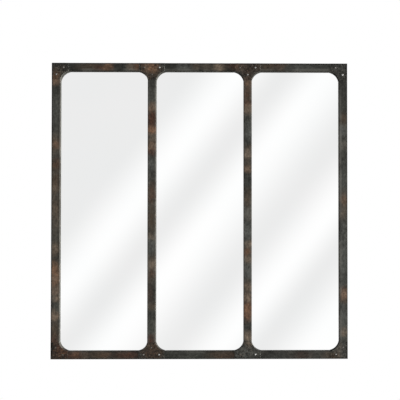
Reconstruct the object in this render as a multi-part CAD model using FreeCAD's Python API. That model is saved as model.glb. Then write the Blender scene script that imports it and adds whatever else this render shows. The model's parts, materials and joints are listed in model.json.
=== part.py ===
import FreeCAD, Part
import math
import os

# Wall mirror framed like a factory window: three silvered panes behind a riveted grid of steel tube.
# Millimetres. +X is to the right as seen from the front, +Y goes into the wall, +Z is up.
# The origin is on the wall plane, behind the middle of the mirror.

# Frame of steel tube
FRAME_WIDTH = 950.0
FRAME_HEIGHT = 950.0
UPRIGHT_FACE = 27.0  # width of a stile or mullion seen from the front
RAIL_FACE = 26.0  # the same for a rail
BAR_DEPTH = 15.0
TUBE_WALL = 1.5
TUBE_EDGE_RADIUS = 3.0

# Gusset plates over the joints
GUSSET_THICKNESS = 2.0
GUSSET_LEG = 28.0  # along a bar, past the inner edge of the other
GUSSET_ARC_RADIUS = 37.0  # concave edge between the ends of two legs
GUSSET_INSET = 0.5  # from the outer edge of the frame
GUSSET_EDGE_RADIUS = 0.8  # rolled-off rim of the front face
WEB_THICKNESS = 2.0  # strip bent along the concave edge, behind the plate

# Dome rivets through the gussets
RIVET_HEAD_RADIUS = 3.5
RIVET_HEAD_HEIGHT = 2.0
RIVET_SHANK_RADIUS = 2.0
RIVET_TAIL_RADIUS = 3.0  # set end inside the tube
RIVET_TAIL_LENGTH = 3.0
RIVET_PAST_JOINT = 11.5  # along a bar, from the edge of the bar that it meets
RIVET_OFF_CENTRE = 2.0  # from the centreline of an outer bar towards the glass

# Glass and what beds it
GLASS_THICKNESS = 4.0
GLASS_EDGE_GAP = 2.0  # round each pane, to the spacers
TAPE_THICKNESS = 1.0  # foam between the glass and the bars
TAPE_SETBACK = 1.0  # from the inner edge of a bar
BLOCK_LENGTH = 30.0  # setting blocks under the panes
BLOCK_FROM_PANE_EDGE = 60.0

# Spacers and backing board
MULLION_SPACER_WIDTH = 7.0
RIM_SPACER_INSET = 2.0  # from the outer edge of the frame
BOARD_THICKNESS = 3.0
BOARD_INSET = 2.0
BOARD_CORNER_RADIUS = 4.0

# Pan-head screws with a cross recess
SCREW_SHANK_RADIUS = 1.75
SCREW_HEAD_RADIUS = 3.5
SCREW_HEAD_HEIGHT = 2.2
SCREW_HEAD_EDGE = 0.8  # straight side of the head under its dome
SCREW_PAST_WALL = 2.0  # full thread inside the tube
SCREW_POINT_LENGTH = 3.0
RECESS_SPAN = 3.6
RECESS_WIDTH = 1.0
RECESS_DEPTH = 1.2
HOLE_CLEARANCE = 0.1  # radial, round every screw and rivet
DRILL_OVERRUN = 1.0  # past the faces of what is drilled
RIM_SCREW_COUNT = 4  # along each outer bar
MULLION_SCREW_COUNT = 3  # along each mullion

# Hangers: a ring of wire in the knuckle of a folded strap, on the back of each mullion
HANGER_DROP = 70.0  # from the top of the frame to the ring's axis
RING_WIRE_RADIUS = 2.0
RING_INNER_WIDTH = 20.0
RING_REACH = 20.0  # from the axis to the middle of the bow's wire
RING_CORNER_RADIUS = 4.0  # bend of the wire beside the knuckle, at its centreline
RING_CLEARANCE = 0.08  # radial, in the knuckle
RING_SIDE_PLAY = 0.5
RING_REST_GAP = 0.3  # between the hanging ring and the board
STRAP_SHEET = 1.2
STRAP_SCREW_MARGIN = 4.5  # between the folded ring and the first screw's head
STRAP_SCREW_PITCH = 18.0

# Rubber wall bumpers, screwed on over the stiles
BUMPER_HEIGHT = 8.0
BUMPER_BASE_RADIUS = 6.5
BUMPER_TOP_RADIUS = 5.7
BUMPER_SEAT = 3.0  # rubber under the screw's head
BUMPER_POCKET_CLEARANCE = 0.4
BUMPER_FROM_END = 60.0  # from the top or bottom of the frame

# Depths, from the wall to the front
BOARD_BACK = -BUMPER_HEIGHT
BOARD_FRONT = BOARD_BACK - BOARD_THICKNESS
GLASS_FRONT = BOARD_FRONT - GLASS_THICKNESS
BAR_BACK = GLASS_FRONT - TAPE_THICKNESS
BAR_FRONT = BAR_BACK - BAR_DEPTH
BAR_MIDDLE = BAR_BACK - BAR_DEPTH / 2
GUSSET_FRONT = BAR_FRONT - GUSSET_THICKNESS

# Places across the frame
HALF_WIDTH = FRAME_WIDTH / 2
HALF_HEIGHT = FRAME_HEIGHT / 2
OPENING_WIDTH = (FRAME_WIDTH - 4 * UPRIGHT_FACE) / 3
OPENING_HEIGHT = FRAME_HEIGHT - 2 * RAIL_FACE
MULLION_X = (OPENING_WIDTH + UPRIGHT_FACE) / 2
PANE_PITCH = OPENING_WIDTH + UPRIGHT_FACE
GLASS_LAP = (UPRIGHT_FACE - MULLION_SPACER_WIDTH) / 2 - GLASS_EDGE_GAP
PANE_WIDTH = OPENING_WIDTH + 2 * GLASS_LAP
PANE_HEIGHT = OPENING_HEIGHT + 2 * GLASS_LAP
STILE_SPACER_WIDTH = UPRIGHT_FACE - GLASS_LAP - GLASS_EDGE_GAP - RIM_SPACER_INSET
RAIL_SPACER_WIDTH = RAIL_FACE - GLASS_LAP - GLASS_EDGE_GAP - RIM_SPACER_INSET

# Lines of fasteners, from the outer edge of the frame
STILE_SCREW_LINE = RIM_SPACER_INSET + STILE_SPACER_WIDTH / 2
RAIL_SCREW_LINE = RIM_SPACER_INSET + RAIL_SPACER_WIDTH / 2
STILE_RIVET_LINE = UPRIGHT_FACE / 2 + RIVET_OFF_CENTRE
RAIL_RIVET_LINE = RAIL_FACE / 2 + RIVET_OFF_CENTRE

# Hanger sizes that follow from the wire
RING_HALF_WIDTH = RING_INNER_WIDTH / 2 + RING_WIRE_RADIUS
KNUCKLE_BORE_RADIUS = RING_WIRE_RADIUS + RING_CLEARANCE
KNUCKLE_RADIUS = KNUCKLE_BORE_RADIUS + STRAP_SHEET
RING_AXIS_Y = BOARD_BACK + KNUCKLE_RADIUS
RING_AXIS_Z = HALF_HEIGHT - HANGER_DROP
RING_LEAN = math.degrees(math.asin((KNUCKLE_RADIUS - RING_WIRE_RADIUS - RING_REST_GAP) / RING_REACH))
STRAP_WIDTH = 2 * (RING_HALF_WIDTH - RING_CORNER_RADIUS - RING_SIDE_PLAY)
STRAP_THICKNESS = 2 * STRAP_SHEET
UPPER_STRAP_SCREW = RING_REACH + RING_WIRE_RADIUS + STRAP_SCREW_MARGIN + SCREW_HEAD_RADIUS
LOWER_STRAP_SCREW = UPPER_STRAP_SCREW + STRAP_SCREW_PITCH

SCREW_HOLE_RADIUS = SCREW_SHANK_RADIUS + HOLE_CLEARANCE
RIVET_HOLE_RADIUS = RIVET_SHANK_RADIUS + HOLE_CLEARANCE

V = FreeCAD.Vector
SIDES = {"left": -1, "right": 1}
ENDS = {"top": 1, "bottom": -1}
LIGHTS = {"left": -1, "centre": 0, "right": 1}


def box_between(first, second):
    """A box between two opposite corners, given in any order."""
    low = V(min(first.x, second.x), min(first.y, second.y), min(first.z, second.z))
    high = V(max(first.x, second.x), max(first.y, second.y), max(first.z, second.z))
    return Part.makeBox(high.x - low.x, high.y - low.y, high.z - low.z, low)


def round_edges(box, along, radius):
    """The box with its edges along one axis rounded."""
    if radius <= 0:
        return box
    edges = [edge for edge in box.Edges if abs(edge.tangentAt(edge.FirstParameter).dot(along)) > 0.9]
    return box.makeFillet(radius, edges).Solids[0]


def plate(edges, thickness):
    """A flat plate in the XZ plane from its outline, with its thickness along Y."""
    return Part.Face(Part.Wire(edges)).extrude(V(0, thickness, 0))


def outline(points):
    """Straight edges through the points, closed."""
    return Part.makePolygon(points + points[:1]).Edges


def turned(edges):
    """A solid of revolution about Y from a closed profile in the XY plane."""
    return Part.Face(Part.Wire(edges)).revolve(V(0, 0, 0), V(0, 1, 0), 360)


def spread(length, count):
    """Evenly spaced places along a length, centred on zero."""
    pitch = length / count
    return [pitch * (index - (count - 1) / 2) for index in range(count)]


def drilled(shape, spots, radius, first_y, last_y):
    """The shape with a hole along Y at every spot that lies within it."""
    bounds = shape.BoundBox
    for spot in spots:
        if bounds.XMin < spot.x < bounds.XMax and bounds.ZMin < spot.z < bounds.ZMax:
            start = V(spot.x, first_y, spot.z)
            shape = shape.cut(Part.makeCylinder(radius, last_y - first_y, start, V(0, 1, 0)))
    return shape.Solids[0]


def copies(shape, spots):
    """One copy of the shape at every spot."""
    return Part.makeCompound([shape.translated(spot) for spot in spots])


# Places of the fasteners

def corner_rivet_spots():
    """One rivet in each leg of every corner plate."""
    past_stile = UPRIGHT_FACE + RIVET_PAST_JOINT
    past_rail = RAIL_FACE + RIVET_PAST_JOINT
    spots = []
    for side in SIDES.values():
        for end in ENDS.values():
            for across, up in ((past_stile, RAIL_RIVET_LINE), (STILE_RIVET_LINE, past_rail)):
                spots.append(V(side * (HALF_WIDTH - across), 0, end * (HALF_HEIGHT - up)))
    return spots


def tee_rivet_spots():
    """Two rivets in the rail and one in the mullion for every tee plate."""
    along_rail = UPRIGHT_FACE / 2 + RIVET_PAST_JOINT
    past_rail = RAIL_FACE + RIVET_PAST_JOINT
    spots = []
    for side in SIDES.values():
        for end in ENDS.values():
            centre = side * MULLION_X
            spots.append(V(centre - along_rail, 0, end * (HALF_HEIGHT - RAIL_RIVET_LINE)))
            spots.append(V(centre + along_rail, 0, end * (HALF_HEIGHT - RAIL_RIVET_LINE)))
            spots.append(V(centre, 0, end * (HALF_HEIGHT - past_rail)))
    return spots


def board_screw_spots():
    """Screws round the rim and down the mullions."""
    across = HALF_WIDTH - STILE_SCREW_LINE
    up = HALF_HEIGHT - RAIL_SCREW_LINE
    spots = []
    for end in ENDS.values():
        spots += [V(x, 0, end * up) for x in spread(FRAME_WIDTH, RIM_SCREW_COUNT)]
    for side in SIDES.values():
        spots += [V(side * across, 0, z) for z in spread(FRAME_HEIGHT, RIM_SCREW_COUNT)]
        spots += [V(side * MULLION_X, 0, z) for z in spread(OPENING_HEIGHT, MULLION_SCREW_COUNT)]
    return spots


def hanger_screw_spots():
    """Two screws below the knuckle of each strap."""
    drops = (UPPER_STRAP_SCREW, LOWER_STRAP_SCREW)
    return [V(side * MULLION_X, 0, RING_AXIS_Z - drop) for side in SIDES.values() for drop in drops]


def bumper_spots():
    """Near both ends of each stile, on the line of its screws."""
    across = HALF_WIDTH - STILE_SCREW_LINE
    up = HALF_HEIGHT - BUMPER_FROM_END
    return [V(side * across, 0, end * up) for side in SIDES.values() for end in ENDS.values()]


RIVET_SPOTS = corner_rivet_spots() + tee_rivet_spots()
SCREW_SPOTS = board_screw_spots() + hanger_screw_spots() + bumper_spots()


# Frame bars

def tube(first, second, along):
    """A length of rounded rectangular tube between two opposite corners, open at both ends."""
    outer = box_between(first, second)
    low = V(outer.BoundBox.XMin, outer.BoundBox.YMin, outer.BoundBox.ZMin)
    high = V(outer.BoundBox.XMax, outer.BoundBox.YMax, outer.BoundBox.ZMax)
    wall = (V(1, 1, 1) - along) * TUBE_WALL
    inner = box_between(low + wall, high - wall)
    outer = round_edges(outer, along, TUBE_EDGE_RADIUS)
    inner = round_edges(inner, along, TUBE_EDGE_RADIUS - TUBE_WALL)
    bar = outer.cut(inner)
    bar = drilled(bar, RIVET_SPOTS, RIVET_HOLE_RADIUS, BAR_FRONT - DRILL_OVERRUN, BAR_MIDDLE)
    return drilled(bar, SCREW_SPOTS, SCREW_HOLE_RADIUS, BAR_MIDDLE, BAR_BACK + DRILL_OVERRUN)


def mitred_bar(along, outward, half_length, reach, face, end_face):
    """An outer bar of the frame, cut at both ends from the outer to the inner corner of the frame."""
    def place(step, out, depth):
        return along * step + outward * out + V(0, depth, 0)

    bar = tube(place(-half_length, reach - face, BAR_FRONT), place(half_length, reach, BAR_BACK), along)
    front = BAR_FRONT - face
    keep = outline([
        place(-half_length - end_face, reach + face, front),
        place(half_length + end_face, reach + face, front),
        place(half_length - 2 * end_face, reach - 2 * face, front),
        place(-half_length + 2 * end_face, reach - 2 * face, front),
    ])
    return bar.common(plate(keep, BAR_DEPTH + 2 * face)).Solids[0]


def rail(end):
    return mitred_bar(V(1, 0, 0), V(0, 0, end), HALF_WIDTH, HALF_HEIGHT, RAIL_FACE, UPRIGHT_FACE)


def stile(side):
    return mitred_bar(V(0, 0, 1), V(side, 0, 0), HALF_HEIGHT, HALF_WIDTH, UPRIGHT_FACE, RAIL_FACE)


def mullion(side):
    """An upright bar that butts against both rails."""
    near = V(side * MULLION_X - UPRIGHT_FACE / 2, BAR_FRONT, -OPENING_HEIGHT / 2)
    far = V(side * MULLION_X + UPRIGHT_FACE / 2, BAR_BACK, OPENING_HEIGHT / 2)
    return tube(near, far, V(0, 0, 1))


# Plates, their webs and the rivets on the front

def corner_edge(side, end):
    """Start, inner corner and finish of the concave edge of a corner plate."""
    inner = V(side * (HALF_WIDTH - UPRIGHT_FACE), BAR_FRONT, end * (HALF_HEIGHT - RAIL_FACE))
    return inner - V(side * GUSSET_LEG, 0, 0), inner, inner - V(0, 0, end * GUSSET_LEG)


def tee_edges(side, end):
    """The same for the two concave edges of a tee plate, the left one first."""
    edges = []
    for hand in SIDES.values():
        inner = V(side * MULLION_X + hand * UPRIGHT_FACE / 2, BAR_FRONT, end * (HALF_HEIGHT - RAIL_FACE))
        edges.append((inner + V(hand * GUSSET_LEG, 0, 0), inner, inner - V(0, 0, end * GUSSET_LEG)))
    return edges


def arc_centre(start, inner, finish):
    """Centre of a concave edge, in front of the glass."""
    chord_middle = (start + finish) * 0.5
    half_chord = start.distanceToPoint(finish) / 2
    from_chord = math.sqrt(GUSSET_ARC_RADIUS ** 2 - half_chord ** 2)
    return chord_middle + (chord_middle - inner).normalize() * from_chord


def concave_arc(start, inner, finish):
    """Arc from start to finish that bows towards the inner corner of two bars."""
    centre = arc_centre(start, inner, finish)
    middle = centre + (inner - centre).normalize() * GUSSET_ARC_RADIUS
    return Part.Arc(start, middle, finish).toShape()


def web(start, inner, finish):
    """Bent strip behind a concave edge, as deep as the bars and let in between them."""
    centre = arc_centre(start, inner, finish)
    outside = Part.makeCylinder(GUSSET_ARC_RADIUS + WEB_THICKNESS, BAR_DEPTH, centre, V(0, 1, 0))
    inside = Part.makeCylinder(GUSSET_ARC_RADIUS, BAR_DEPTH, centre, V(0, 1, 0))
    between_bars = box_between(inner, start + finish - inner + V(0, BAR_DEPTH, 0))
    return outside.cut(inside).common(between_bars).Solids[0]


def corner_web(side, end):
    return web(*corner_edge(side, end))


def tee_webs(side, end):
    return Part.makeCompound([web(*edge) for edge in tee_edges(side, end)])


def finished_gusset(edges):
    """A plate on the bars with its front rim eased, drilled for its rivets."""
    body = plate(edges, -GUSSET_THICKNESS)
    middle_y = (BAR_FRONT + GUSSET_FRONT) / 2
    front_rim = [edge for edge in body.Edges if edge.BoundBox.YMax < middle_y]
    body = body.makeFillet(GUSSET_EDGE_RADIUS, front_rim).Solids[0]
    first_y = GUSSET_FRONT - DRILL_OVERRUN
    return drilled(body, RIVET_SPOTS, RIVET_HOLE_RADIUS, first_y, BAR_FRONT + DRILL_OVERRUN)


def corner_gusset(side, end):
    """Plate over a mitred corner, with one leg along each bar."""
    rail_tip, inner, stile_tip = corner_edge(side, end)
    corner = V(side * (HALF_WIDTH - GUSSET_INSET), BAR_FRONT, end * (HALF_HEIGHT - GUSSET_INSET))
    stile_foot = V(corner.x, BAR_FRONT, stile_tip.z)
    rail_foot = V(rail_tip.x, BAR_FRONT, corner.z)
    edges = [concave_arc(rail_tip, inner, stile_tip)]
    edges += Part.makePolygon([stile_tip, stile_foot, corner, rail_foot, rail_tip]).Edges
    return finished_gusset(edges)


def tee_gusset(side, end):
    """Plate over the joint of a mullion and a rail."""
    (left_tip, left_inner, left_stem), (right_tip, right_inner, right_stem) = tee_edges(side, end)
    outer_z = end * (HALF_HEIGHT - GUSSET_INSET)
    edges = [concave_arc(left_tip, left_inner, left_stem)]
    edges += Part.makePolygon([left_stem, right_stem]).Edges
    edges.append(concave_arc(right_stem, right_inner, right_tip))
    back = [V(right_tip.x, BAR_FRONT, outer_z), V(left_tip.x, BAR_FRONT, outer_z)]
    edges += Part.makePolygon([right_tip] + back + [left_tip]).Edges
    return finished_gusset(edges)


def dome_arc(radius, height, base_y, away):
    """Arc from the crown of a dome to its rim, in the XY plane; away is the crown's direction along Y."""
    ball = (radius ** 2 + height ** 2) / (2 * height)
    half_angle = math.asin(radius / ball) / 2
    centre_y = base_y + away * (height - ball)
    crown = V(0, base_y + away * height, 0)
    middle = V(ball * math.sin(half_angle), centre_y + away * ball * math.cos(half_angle), 0)
    return Part.Arc(crown, middle, V(radius, base_y, 0)).toShape()


def rivet():
    """Dome head on the plate, shank through plate and tube wall, set tail inside the tube."""
    tail_start = BAR_FRONT + TUBE_WALL
    tail_end = tail_start + RIVET_TAIL_LENGTH
    edges = [dome_arc(RIVET_HEAD_RADIUS, RIVET_HEAD_HEIGHT, GUSSET_FRONT, -1)]
    edges += Part.makePolygon([
        V(RIVET_HEAD_RADIUS, GUSSET_FRONT, 0),
        V(RIVET_SHANK_RADIUS, GUSSET_FRONT, 0),
        V(RIVET_SHANK_RADIUS, tail_start, 0),
        V(RIVET_TAIL_RADIUS, tail_start, 0),
        V(RIVET_SHANK_RADIUS, tail_end, 0),
        V(0, tail_end, 0),
        V(0, GUSSET_FRONT - RIVET_HEAD_HEIGHT, 0),
    ]).Edges
    return turned(edges)


# Glass and its bedding

def pane(light):
    """A sheet of glass that laps behind the bars on all four sides."""
    centre = light * PANE_PITCH
    near = V(centre - PANE_WIDTH / 2, GLASS_FRONT, -PANE_HEIGHT / 2)
    far = V(centre + PANE_WIDTH / 2, BOARD_FRONT, PANE_HEIGHT / 2)
    return box_between(near, far)


def glazing_tape(light):
    """Four strips of foam between the front of a pane and the bars round it."""
    centre = light * PANE_PITCH
    inner_x = OPENING_WIDTH / 2 + TAPE_SETBACK
    inner_z = OPENING_HEIGHT / 2 + TAPE_SETBACK
    outer_x = PANE_WIDTH / 2
    outer_z = PANE_HEIGHT / 2
    strips = []
    for sign in (-1, 1):
        upright_near = V(centre + sign * inner_x, BAR_BACK, -outer_z)
        upright_far = V(centre + sign * outer_x, GLASS_FRONT, outer_z)
        level_near = V(centre - inner_x, BAR_BACK, sign * inner_z)
        level_far = V(centre + inner_x, GLASS_FRONT, sign * outer_z)
        strips.append(box_between(upright_near, upright_far))
        strips.append(box_between(level_near, level_far))
    return Part.makeCompound(strips)


def setting_blocks():
    """Two rubber blocks under each pane, standing on the bottom spacer."""
    glass_foot = -PANE_HEIGHT / 2
    from_centre = PANE_WIDTH / 2 - BLOCK_FROM_PANE_EDGE
    blocks = []
    for light in LIGHTS.values():
        for sign in (-1, 1):
            middle = light * PANE_PITCH + sign * from_centre
            near = V(middle - BLOCK_LENGTH / 2, GLASS_FRONT, glass_foot - GLASS_EDGE_GAP)
            far = V(middle + BLOCK_LENGTH / 2, BOARD_FRONT, glass_foot)
            blocks.append(box_between(near, far))
    return Part.makeCompound(blocks)


# Spacers and board at the back

def spacer(first_x, last_x, first_z, last_z):
    """A strip between the back of the bars and the board, drilled for its screws."""
    strip = box_between(V(first_x, BAR_BACK, first_z), V(last_x, BOARD_FRONT, last_z))
    first_y = BAR_BACK - DRILL_OVERRUN
    return drilled(strip, SCREW_SPOTS, SCREW_HOLE_RADIUS, first_y, BOARD_FRONT + DRILL_OVERRUN)


def level_spacer(end):
    outer = end * (HALF_HEIGHT - RIM_SPACER_INSET)
    half_length = HALF_WIDTH - RIM_SPACER_INSET
    return spacer(-half_length, half_length, outer - end * RAIL_SPACER_WIDTH, outer)


def upright_spacer(side):
    """Rim strip that stands between the level ones."""
    outer = side * (HALF_WIDTH - RIM_SPACER_INSET)
    half_length = HALF_HEIGHT - RIM_SPACER_INSET - RAIL_SPACER_WIDTH
    return spacer(outer - side * STILE_SPACER_WIDTH, outer, -half_length, half_length)


def mullion_spacer(side):
    """Narrow strip between two panes, behind a mullion."""
    centre = side * MULLION_X
    half_length = HALF_HEIGHT - RIM_SPACER_INSET - RAIL_SPACER_WIDTH
    half_width = MULLION_SPACER_WIDTH / 2
    return spacer(centre - half_width, centre + half_width, -half_length, half_length)


def backing_board():
    across = HALF_WIDTH - BOARD_INSET
    up = HALF_HEIGHT - BOARD_INSET
    sheet = box_between(V(-across, BOARD_FRONT, -up), V(across, BOARD_BACK, up))
    sheet = round_edges(sheet, V(0, 1, 0), BOARD_CORNER_RADIUS)
    first_y = BOARD_FRONT - DRILL_OVERRUN
    return drilled(sheet, SCREW_SPOTS, SCREW_HOLE_RADIUS, first_y, BOARD_BACK + DRILL_OVERRUN)


def screw(seat_y):
    """Screw whose head sits at a given depth and whose point ends inside the tube."""
    thread_end = BAR_BACK - TUBE_WALL - SCREW_PAST_WALL
    rim_y = seat_y + SCREW_HEAD_EDGE
    crown_y = seat_y + SCREW_HEAD_HEIGHT
    edges = [dome_arc(SCREW_HEAD_RADIUS, SCREW_HEAD_HEIGHT - SCREW_HEAD_EDGE, rim_y, 1)]
    edges += Part.makePolygon([
        V(SCREW_HEAD_RADIUS, rim_y, 0),
        V(SCREW_HEAD_RADIUS, seat_y, 0),
        V(SCREW_SHANK_RADIUS, seat_y, 0),
        V(SCREW_SHANK_RADIUS, thread_end, 0),
        V(0, thread_end - SCREW_POINT_LENGTH, 0),
        V(0, crown_y, 0),
    ]).Edges
    body = turned(edges)
    half_span = RECESS_SPAN / 2
    half_width = RECESS_WIDTH / 2
    for half_x, half_z in ((half_span, half_width), (half_width, half_span)):
        floor = V(-half_x, crown_y - RECESS_DEPTH, -half_z)
        body = body.cut(box_between(floor, V(half_x, crown_y, half_z)))
    return body.Solids[0]


# Hangers and bumpers

def hanger_strap(side):
    """Strip folded round the ring's wire and screwed flat to the back of a mullion."""
    centre = side * MULLION_X
    half_width = STRAP_WIDTH / 2
    end_z = RING_AXIS_Z - LOWER_STRAP_SCREW
    upper_left = V(centre - half_width, BOARD_BACK, RING_AXIS_Z)
    upper_right = V(centre + half_width, BOARD_BACK, RING_AXIS_Z)
    lower_right = V(centre + half_width, BOARD_BACK, end_z)
    lower_left = V(centre - half_width, BOARD_BACK, end_z)
    tip = V(centre, BOARD_BACK, end_z - half_width)
    edges = Part.makePolygon([lower_left, upper_left, upper_right, lower_right]).Edges
    edges.append(Part.Arc(lower_right, tip, lower_left).toShape())
    leaf = plate(edges, STRAP_THICKNESS)
    axis_start = V(centre - half_width, RING_AXIS_Y, RING_AXIS_Z)
    knuckle = Part.makeCylinder(KNUCKLE_RADIUS, STRAP_WIDTH, axis_start, V(1, 0, 0))
    bore = Part.makeCylinder(KNUCKLE_BORE_RADIUS, STRAP_WIDTH, axis_start, V(1, 0, 0))
    strap = leaf.fuse(knuckle).cut(bore).removeSplitter()
    first_y = BOARD_BACK - DRILL_OVERRUN
    last_y = BOARD_BACK + STRAP_THICKNESS + DRILL_OVERRUN
    return drilled(strap, SCREW_SPOTS, SCREW_HOLE_RADIUS, first_y, last_y)


def hanger_ring(side):
    """D-shaped ring of round wire, standing up in its knuckle and leaning on the board."""
    def across(point):
        return V(-point.x, 0, point.z)

    sagitta = RING_CORNER_RADIUS * (1 - math.sqrt(0.5))
    foot = V(RING_HALF_WIDTH - RING_CORNER_RADIUS, 0, 0)
    bend = V(RING_HALF_WIDTH - sagitta, 0, sagitta)
    arm_low = V(RING_HALF_WIDTH, 0, RING_CORNER_RADIUS)
    arm_high = V(RING_HALF_WIDTH, 0, RING_REACH - RING_HALF_WIDTH)
    bow = V(0, 0, RING_REACH)
    path = [
        Part.LineSegment(across(foot), foot),
        Part.Arc(foot, bend, arm_low),
        Part.LineSegment(arm_low, arm_high),
        Part.Arc(arm_high, bow, across(arm_high)),
        Part.LineSegment(across(arm_high), across(arm_low)),
        Part.Arc(across(arm_low), across(bend), across(foot)),
    ]
    section = Part.Wire(Part.Circle(across(foot), V(1, 0, 0), RING_WIRE_RADIUS).toShape())
    ring = Part.Wire([piece.toShape() for piece in path]).makePipeShell([section], True)
    ring.rotate(V(0, 0, 0), V(1, 0, 0), RING_LEAN)
    return ring.translated(V(side * MULLION_X, RING_AXIS_Y, RING_AXIS_Z))


def bumper():
    """Tapered rubber buffer with a pocket that sinks the screw's head."""
    pocket = SCREW_HEAD_RADIUS + BUMPER_POCKET_CLEARANCE
    seat_y = BOARD_BACK + BUMPER_SEAT
    return turned(outline([
        V(SCREW_HOLE_RADIUS, BOARD_BACK, 0),
        V(BUMPER_BASE_RADIUS, BOARD_BACK, 0),
        V(BUMPER_TOP_RADIUS, 0, 0),
        V(pocket, 0, 0),
        V(pocket, seat_y, 0),
        V(SCREW_HOLE_RADIUS, seat_y, 0),
    ]))


def all_nodes():
    """Every piece of the mirror by its name."""
    nodes = {}
    for end_name, end in ENDS.items():
        nodes[end_name + "_rail"] = rail(end)
        nodes[end_name + "_spacer"] = level_spacer(end)
        for side_name, side in SIDES.items():
            nodes[end_name + "_" + side_name + "_gusset"] = corner_gusset(side, end)
            nodes[end_name + "_" + side_name + "_tee"] = tee_gusset(side, end)
            nodes[end_name + "_" + side_name + "_gusset_web"] = corner_web(side, end)
            nodes[end_name + "_" + side_name + "_tee_webs"] = tee_webs(side, end)
    for side_name, side in SIDES.items():
        nodes[side_name + "_stile"] = stile(side)
        nodes[side_name + "_mullion"] = mullion(side)
        nodes[side_name + "_spacer"] = upright_spacer(side)
        nodes[side_name + "_mullion_spacer"] = mullion_spacer(side)
        nodes[side_name + "_hanger_strap"] = hanger_strap(side)
        nodes[side_name + "_hanger_ring"] = hanger_ring(side)
    for light_name, light in LIGHTS.items():
        nodes[light_name + "_pane"] = pane(light)
        nodes[light_name + "_tape"] = glazing_tape(light)
    nodes["setting_blocks"] = setting_blocks()
    nodes["backing_board"] = backing_board()
    nodes["corner_rivets"] = copies(rivet(), corner_rivet_spots())
    nodes["tee_rivets"] = copies(rivet(), tee_rivet_spots())
    nodes["board_screws"] = copies(screw(BOARD_BACK), board_screw_spots())
    nodes["hanger_screws"] = copies(screw(BOARD_BACK + STRAP_THICKNESS), hanger_screw_spots())
    nodes["wall_bumpers"] = copies(bumper(), bumper_spots())
    nodes["bumper_screws"] = copies(screw(BOARD_BACK + BUMPER_SEAT), bumper_spots())
    return nodes


os.makedirs("parts", exist_ok=True)
for name, shape in all_nodes().items():
    shape.exportStep("parts/" + name + ".step")
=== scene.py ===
import json
import math

import bmesh
import bpy
from mathutils import Matrix, Vector


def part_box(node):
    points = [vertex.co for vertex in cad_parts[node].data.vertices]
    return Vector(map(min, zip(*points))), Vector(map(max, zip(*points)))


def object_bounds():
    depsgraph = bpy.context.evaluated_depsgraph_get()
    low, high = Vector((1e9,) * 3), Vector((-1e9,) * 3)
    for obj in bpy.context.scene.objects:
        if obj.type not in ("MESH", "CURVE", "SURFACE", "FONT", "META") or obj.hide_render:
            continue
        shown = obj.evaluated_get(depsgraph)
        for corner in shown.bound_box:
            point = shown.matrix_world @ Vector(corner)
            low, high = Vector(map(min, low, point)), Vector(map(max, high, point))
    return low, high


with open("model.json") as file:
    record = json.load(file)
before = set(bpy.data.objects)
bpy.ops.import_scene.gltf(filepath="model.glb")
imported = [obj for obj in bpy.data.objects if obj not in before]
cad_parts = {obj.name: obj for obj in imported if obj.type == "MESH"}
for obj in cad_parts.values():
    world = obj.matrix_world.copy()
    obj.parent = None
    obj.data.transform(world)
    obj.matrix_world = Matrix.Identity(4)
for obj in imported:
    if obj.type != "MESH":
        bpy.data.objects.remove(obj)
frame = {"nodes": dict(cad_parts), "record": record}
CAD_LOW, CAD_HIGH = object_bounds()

MM = 0.001
ACROSS, DEEP, UP = 0, 1, 2  # axes of the frame

# Camera, as the photograph was taken: a long lens a little right of the middle and below it
CAMERA_PLACE = (0.120, -3.500, -0.090)
CAMERA_TURN_RIGHT = 1.003  # degrees
CAMERA_TILT_UP = 1.363  # degrees
FOCAL_LENGTH = 97.32  # mm
SENSOR_WIDTH = 36.0  # mm
SHIFT = (-0.140, 0.0325)

# Studio, in metres
FLOOR_DROP = 0.42  # below the bottom rail, because the mirror hangs
FLOOR_RADIUS = 1.3
FLOOR_FADE = (0.55 * FLOOR_RADIUS, 0.98 * FLOOR_RADIUS)  # where it fades into the white round it
FLOOR_SEGMENTS = 96
FLOOR_LIFT = 0.25  # brings the lit floor up to the white of the background
AMBIENT = 0.20  # even light from all round
DAYLIGHT_WAY = (-0.95, 0.25, -0.18)  # from the right, which lights the walls that face that way
DAYLIGHT_SPREAD = 24.0  # degrees
DAYLIGHT_STRENGTH = 4.0

# Name, place, width and power of each soft box
SOFT_BOXES = (
    ("front_box", (-0.3, -4.2, 0.5), 2.4, 88.0),
    ("rear_box", (-1.4, 2.6, 1.6), 2.0, 90.0),
)

# Surroundings that the glass shows: soft slanting bands of white and pale grey
BAND_SLANT = 0.8  # how far a band goes sideways as it climbs by one
BAND_SPAN = 0.25  # how far the bands go to either side, before they repeat in turned order all round
BAND_GREY = 0.842
BAND_WHITE = 1.0
BANDS = (
    (-0.168, BAND_GREY), (-0.120, BAND_WHITE), (-0.078, BAND_GREY), (-0.039, BAND_WHITE),
    (0.021, BAND_GREY), (0.066, BAND_WHITE), (0.102, BAND_GREY), (0.149, BAND_WHITE),
)


def linear(hex_colour):
    """An sRGB hex value as linear red, green, blue and alpha."""
    channels = [int(hex_colour[i:i + 2], 16) / 255 for i in (1, 3, 5)]
    return [c / 12.92 if c <= 0.04045 else ((c + 0.055) / 1.055) ** 2.4 for c in channels] + [1.0]


def per_mm(size):
    """Scale of a pattern whose features are that many millimetres across."""
    return 1 / (size * MM)


# Inputs and output of a Mix node that mixes colours
SHARE, UNDER, OVER, MIXED = 0, 6, 7, 2


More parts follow.
